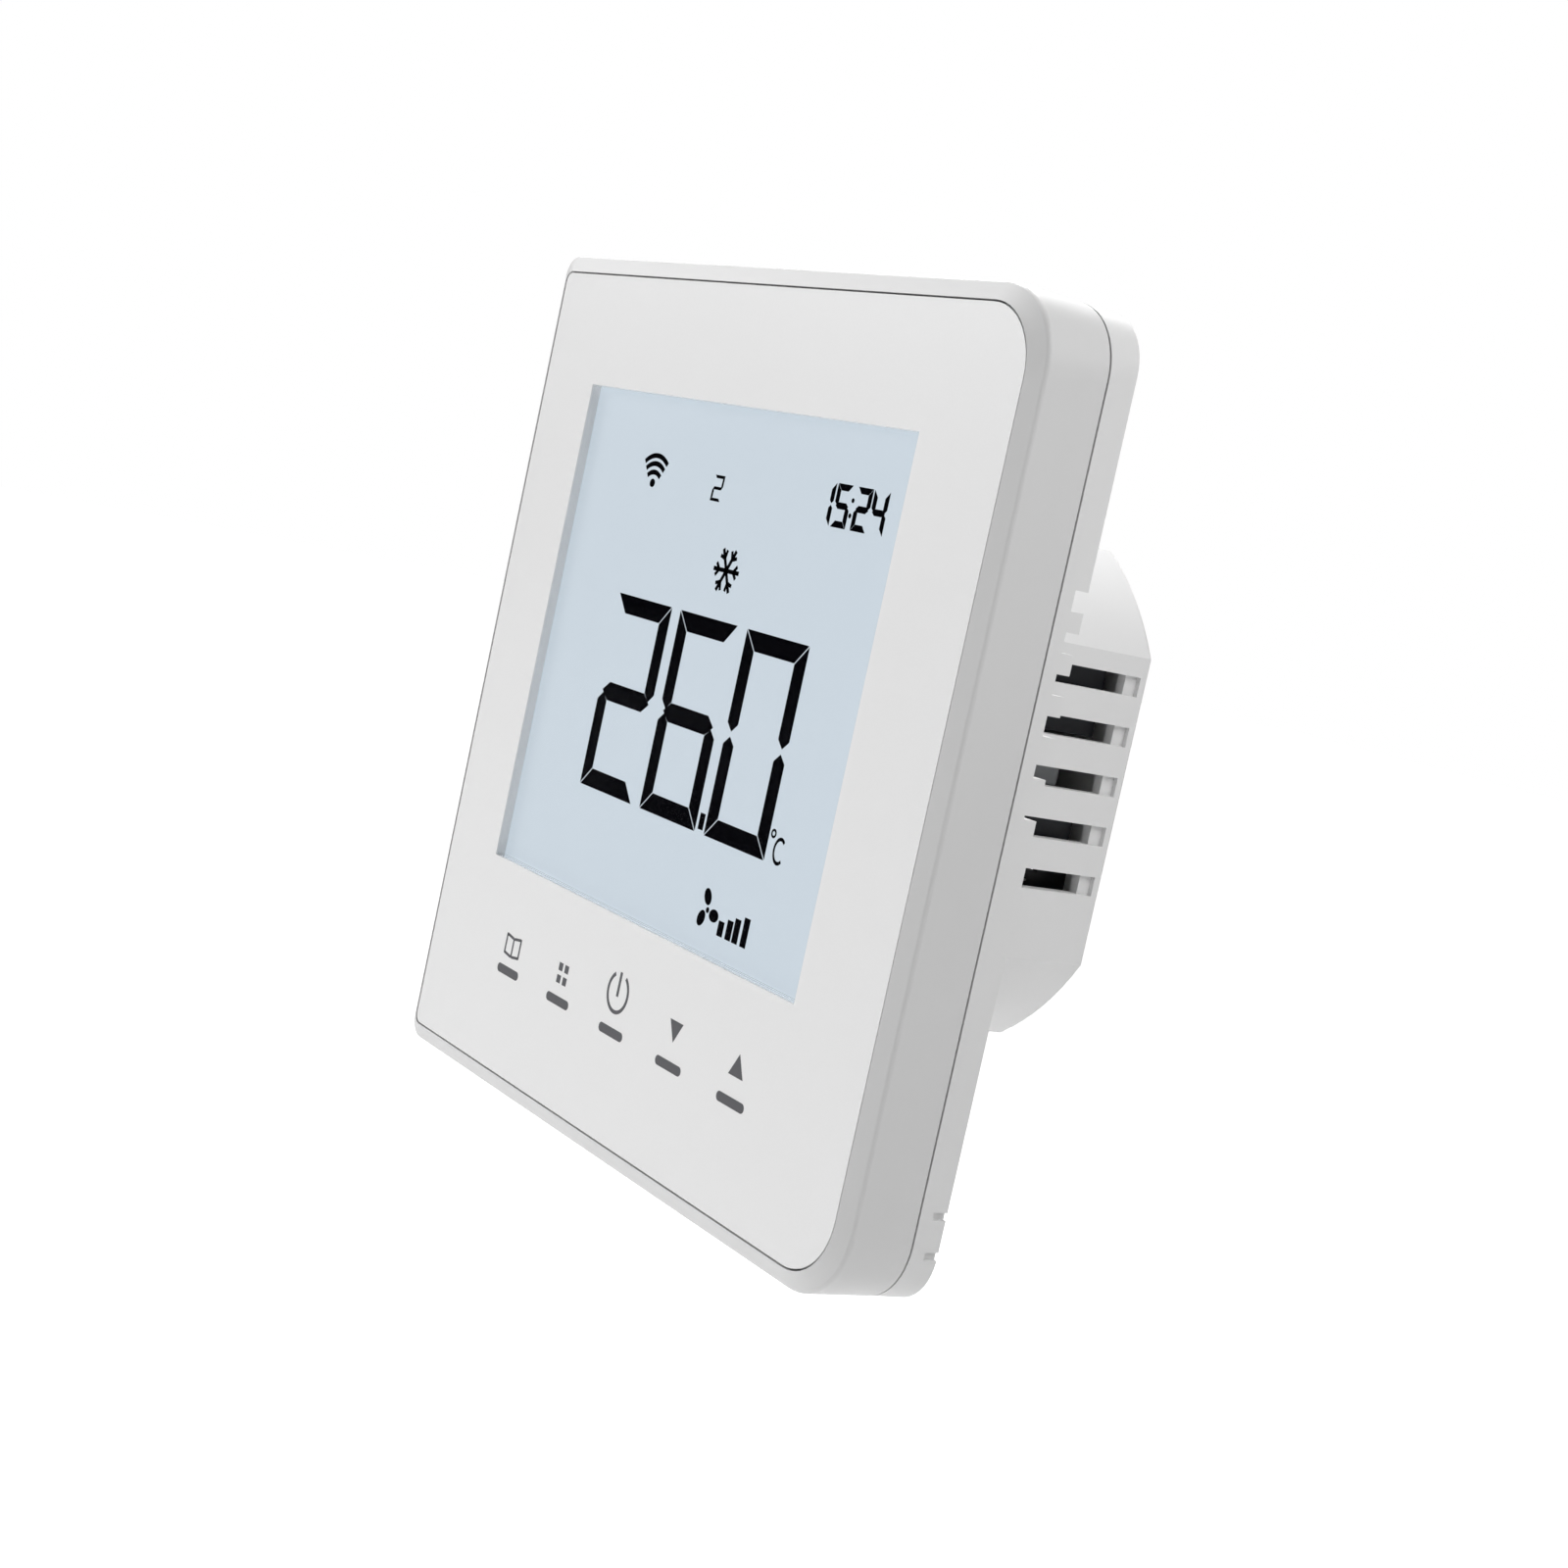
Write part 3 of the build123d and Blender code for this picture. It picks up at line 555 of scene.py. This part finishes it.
def wireless_sign():
    """A dot under three arcs."""
    x, z, width, half_angle = -16.2, 20.1, 0.50, 37
    outlines = [oval(x, 21.12, 0.5, 0.42)]
    for r in (2.1, 2.95, 3.75):
        outlines.append(band(x, z, r, width, 90 - half_angle, 90 + half_angle))
    display_sign("display_wireless_sign", outlines)


def cooling_sign():
    """A snowflake."""
    x, z, reach, width = 0.95, 14.47, 2.3, 0.42
    fork_at, fork_reach, fork_width = 0.55 * reach, 0.85, 0.85 * width
    outlines = []
    for angle in range(0, 360, 60):
        outlines.append(stroke(x, z, *around(x, z, reach, angle), width))
        fork = around(x, z, fork_at, angle)
        for side in (-45, 45):
            outlines.append(stroke(*fork, *around(*fork, fork_reach, angle + side), fork_width))
    display_sign("display_cooling_sign", outlines)


def fan_sign():
    """Three blades about a hub, and four rising speed bars."""
    x, z, blade_reach = 10.2, -16.1, 1.25
    bar_width, bar_bottom, bar_top, rise = 0.98, -17.9, -16.5, 0.43
    outlines = [oval(x, z, 0.28)]
    for angle in (108, -12, 228):
        outlines.append(oval(*around(x, z, blade_reach, angle), 0.82, 0.60, angle + 14))
    for i, left in enumerate((12.5, 13.95, 15.15, 16.6)):
        outlines.append(box_outline(left, left + bar_width, bar_bottom, bar_top + rise * i))
    display_sign("display_fan_sign", outlines)


# ---- printed keys ------------------------------------------------------------------------
KEY_X = [-22.8 + 11.25 * i for i in range(5)]


def key_sign(name, outlines):
    flat_piece(name, outlines, PANEL_Y, SIGN_T, KEY_INK)


def key_bars():
    """The bar under each key's sign."""
    z, length, height = -30.8, 4.75, 0.92
    key_sign("key_bars", [pill(x, z, length, height) for x in KEY_X])


def book_sign():
    """An open book."""
    middle, line = KEY_X[0], 0.29
    outlines = []
    for side in (-1, 1):
        inner, outer = middle + 0.12 * side, middle + 1.55 * side
        outlines.append(stroke(inner, -27.35, outer, -27.15, line))
        outlines.append(stroke(inner, -29.25, outer, -29.05, line))
        outlines.append(stroke(outer, -27.05, outer, -29.15, line))
    outlines.append(stroke(middle, -27.25, middle, -29.35, line))
    key_sign("key_book_sign", outlines)


def mode_sign():
    """Four small squares."""
    middle, height, apart, half = KEY_X[1], -28.1, 0.62, 0.4
    outlines = []
    for x in (middle - apart, middle + apart):
        for z in (height - apart, height + apart):
            outlines.append(box_outline(x - half, x + half, z - half, z + half))
    key_sign("key_mode_sign", outlines)


def power_sign():
    """An open ring with a stroke through its gap."""
    x, z, r, width = KEY_X[2] - 0.15, -26.95, 1.9, 0.38
    outlines = [band(x, z, r, width, 122, 418, steps=48)]
    outlines.append(stroke(x, -24.95, x, -27.35, 0.42))
    key_sign("key_power_sign", outlines)


def key_arrows():
    """Down and up."""
    low, high = KEY_X[3], KEY_X[4]
    down = [(low - 1.2, -26.6), (low, -28.6), (low + 1.2, -26.6)]
    up = [(high - 1.25, -28.5), (high + 1.25, -28.5), (high, -26.4)]
    key_sign("key_arrows", [down, up])


# ---- electronics detail ------------------------------------------------------------------
BOARD_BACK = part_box("control_board")[1].y


def gull_leads():
    """Gull-wing leads along the four sides of the microcontroller."""
    low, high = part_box("microcontroller")
    center = (low + high) / 2
    count, pitch, width, t = 12, 0.75 * MM, 0.32 * MM, 0.13 * MM
    body_y, foot_y = center.y, BOARD_BACK
    profile = [
        (-0.1, body_y), (0.45, body_y), (0.65, foot_y), (1.15, foot_y),
        (1.15, foot_y + t), (0.75, foot_y + t), (0.55, body_y + t), (-0.1, body_y + t),
    ]
    along_z, along_x = Vector((0, 0, width)), Vector((width, 0, 0))
    bm = bmesh.new()
    for i in range(count):
        shift = pitch * (i - (count - 1) / 2) - width / 2
        x, z = center.x + shift, center.z + shift
        for side, edge in ((-1, low), (1, high)):
            prism(bm, profile, lambda u, y: Vector((edge.x + side * u * MM, y, z)), along_z)
            prism(bm, profile, lambda u, y: Vector((x, y, edge.z + side * u * MM)), along_x)
    mesh_piece("microcontroller_leads", bm, materials["tinned_brass"], FRONT_BODY)


def end_caps():
    """Solder ends on each small chip of the control board."""
    grow, cap, half, height = 0.04 * MM, 0.38 * MM, 0.44, 0.74 * MM
    rows = ((-15.2, 6.4, -25.6), (-13.2, 5.6, 27.4))        # first chip, pitch, height
    along = Vector((0, height, 0))
    bm = bmesh.new()
    for start, pitch, z in rows:
        for i in range(6):
            for side in (-1, 1):
                tip = (start + pitch * i + 0.8 * side) * MM + side * grow
                root = tip - side * cap
                profile = [(root, -half), (tip, -half), (tip, half), (root, half)]
                prism(bm, profile, lambda x, w: Vector((x, BOARD_BACK, (z + w) * MM)), along)
    mesh_piece("chip_end_caps", bm, materials["tinned_brass"], FRONT_BODY)


def antenna():
    """The radio module's meander track, on the strip its shield leaves free."""
    width, left, pitch, low, high, runs = 0.55, -18.2, 1.45, 2.6, 6.6, 9
    outlines = []
    for i in range(runs):
        x = left + pitch * i
        outlines.append(box_outline(x, x + width, low, high))
        if i < runs - 1:
            z = high - width if i % 2 == 0 else low
            outlines.append(box_outline(x + width, x + pitch, z, z + width))
    outlines.append(box_outline(left, left + width, 1.0, low))
    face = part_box("wireless_board")[1].y - 0.005 * MM
    flat_piece("radio_antenna", outlines, face, 0.035 * MM, materials["pin_gold"])


def solder_mounds():
    """Joints of the touch springs' feet, on the back of the control board."""
    rings, steps, feet_z = ((0.62, 0.0), (0.45, 0.16), (0.2, 0.34)), 14, -29.0
    bm = bmesh.new()
    for foot_x in [x + dx for x in KEY_X for dx in (-2.3, 2.3)]:
        loops = []
        for r, h in rings:
            y = BOARD_BACK + h * MM
            outline = oval(foot_x, feet_z, r, steps=steps)
            loops.append([bm.verts.new((x * MM, y, z * MM)) for x, z in outline])
        for lower, upper in zip(loops, loops[1:]):
            for k in range(steps):
                bm.faces.new((lower[k - 1], lower[k], upper[k], upper[k - 1]))
        bm.faces.new(loops[0][::-1])
        bm.faces.new(loops[-1])
    mesh_piece("solder_joints", bm, materials["tinned_brass"], FRONT_BODY)


def terminal_numbers():
    """Pole numbers on the terminal block, read from behind; each is its screw's own number."""
    face, poles, pitch, bottom = 21.0 * MM, 8, 5.0, -15.75
    width, height, thick = 0.8, 1.25, 0.17
    first = pitch * (poles - 1) / 2
    digits = []
    for i in range(poles):
        outlines = seven_segment(str(poles - i), -width / 2, bottom, width, height, thick, 0.0)
        middle = first - pitch * i
        digits += [[(middle - x, z) for x, z in outline] for outline in outlines]
    front = face - SUNK
    flat_piece("terminal_numbers", digits, front, SIGN_T, PALE_INK, BASE_BODY)


def end_pips():
    """Small raised mould marks on the right end of the terminal block."""
    spots = (
        (16.9, -7.45), (17.5, -7.2), (18.1, -7.6), (18.4, -7.25),
        (17.2, -8.1), (17.9, -8.3), (18.7, -7.9),
    )
    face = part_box("terminal_block")[1].x - 0.02 * MM
    along = Vector((0.12 * MM, 0, 0))
    bm = bmesh.new()
    for n, (y, z) in enumerate(spots):
        r = 0.17 + 0.05 * (n % 3)
        profile = oval(y, z, r, 0.8 * r, steps=7)
        prism(bm, profile, lambda u, v: Vector((face, u * MM, v * MM)), along)
    mesh_piece("terminal_mould_marks", bm, PALE_INK, BASE_BODY)


def window_pane():
    """The clear window, a hair smaller than its opening so that the panel's cut edge shows."""
    low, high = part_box("display_window")
    inset = Vector((0.06, 0.03, 0.06)) * MM
    low, high = low + inset, high - inset
    along = Vector((0, high.y - low.y, 0))
    bm = bmesh.new()
    profile = box_outline(low.x, high.x, low.z, high.z)
    prism(bm, profile, lambda x, z: Vector((x, low.y, z)), along)
    bmesh.ops.recalc_face_normals(bm, faces=bm.faces)
    bmesh.ops.bevel(bm, geom=bm.edges[:], offset=0.12 * MM, segments=2, affect="EDGES")
    pane = mesh_piece("window_pane", bm, materials["window_clear"], FRONT_BODY)
    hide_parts("display_window")


for make in (
    temperature, degree_sign, clock, zone_digit, wireless_sign, cooling_sign, fan_sign,
    key_bars, book_sign, mode_sign, power_sign, key_arrows,
    window_pane, gull_leads, end_caps, antenna, solder_mounds, terminal_numbers, end_pips,
):
    make()


# ---- studio ------------------------------------------------------------------------------
WORLD_SEEN, WORLD_AMBIENT = 1.0, 0.04
FLOOR_DROP, FLOOR_HALF, FLOOR_SEEN, FLOOR_GLOW = 0.09, 3.0, 1.0, 0.43


def area_light(name, place, size, power):
    """A square soft box that faces the origin."""
    data = bpy.data.lights.new(name, "AREA")
    data.size = size
    data.energy = power
    light = bpy.data.objects.new(name, data)
    light.location = place
    light.rotation_euler = (-Vector(place)).to_track_quat("-Z", "Y").to_euler()
    bpy.context.scene.collection.objects.link(light)


def add_world():
    """A plain white surround: what the camera sees, and a faint light on the scene."""
    world = bpy.data.worlds.new("studio")
    bpy.context.scene.world = world
    world.use_nodes = True
    tree = world.node_tree
    background = tree.nodes["Background"]
    background.inputs["Color"].default_value = (1, 1, 1, 1)
    path = tree.nodes.new("ShaderNodeLightPath")
    strength = tree.nodes.new("ShaderNodeMapRange")
    strength.inputs["To Min"].default_value = WORLD_AMBIENT
    strength.inputs["To Max"].default_value = WORLD_SEEN
    tree.links.new(path.outputs["Is Camera Ray"], strength.inputs["Value"])
    tree.links.new(strength.outputs["Result"], background.inputs["Strength"])


def add_floor():
    """A plain pale floor, which glows softly on the underside of the object."""
    mesh = bpy.data.meshes.new("floor")
    half, height = FLOOR_HALF, cad_box[0][2] - FLOOR_DROP
    corners = [(-half, -half, height), (half, -half, height), (half, half, height), (-half, half, height)]
    mesh.from_pydata(corners, [], [(0, 1, 2, 3)])
    m = Shader("floor_white", (0.60, 0.60, 0.60), 0.8)
    m.tint(m.noise(3.0, 1.0), 0.005)
    m.set("Emission Color", (1, 1, 1, 1))
    seen = m.node("ShaderNodeLightPath").outputs["Is Camera Ray"]
    m.link(m.remap(seen, FLOOR_GLOW, FLOOR_SEEN), m.principled.inputs["Emission Strength"])
    mesh.materials.append(m.material)
    floor = bpy.data.objects.new("floor", mesh)
    bpy.context.scene.collection.objects.link(floor)


add_camera()
add_world()
add_floor()
area_light("key", (-1.69, -1.16, 0.80), 0.9, 24.0)
area_light("front", (-0.10, -0.60, -0.02), 0.2, 0.68)
area_light("top", (-0.14, 0.06, 0.28), 0.2, 1.3)
area_light("side", (0.24, 0.065, 0.24), 0.25, 0.74)
bpy.context.scene.view_settings.view_transform = "Standard"
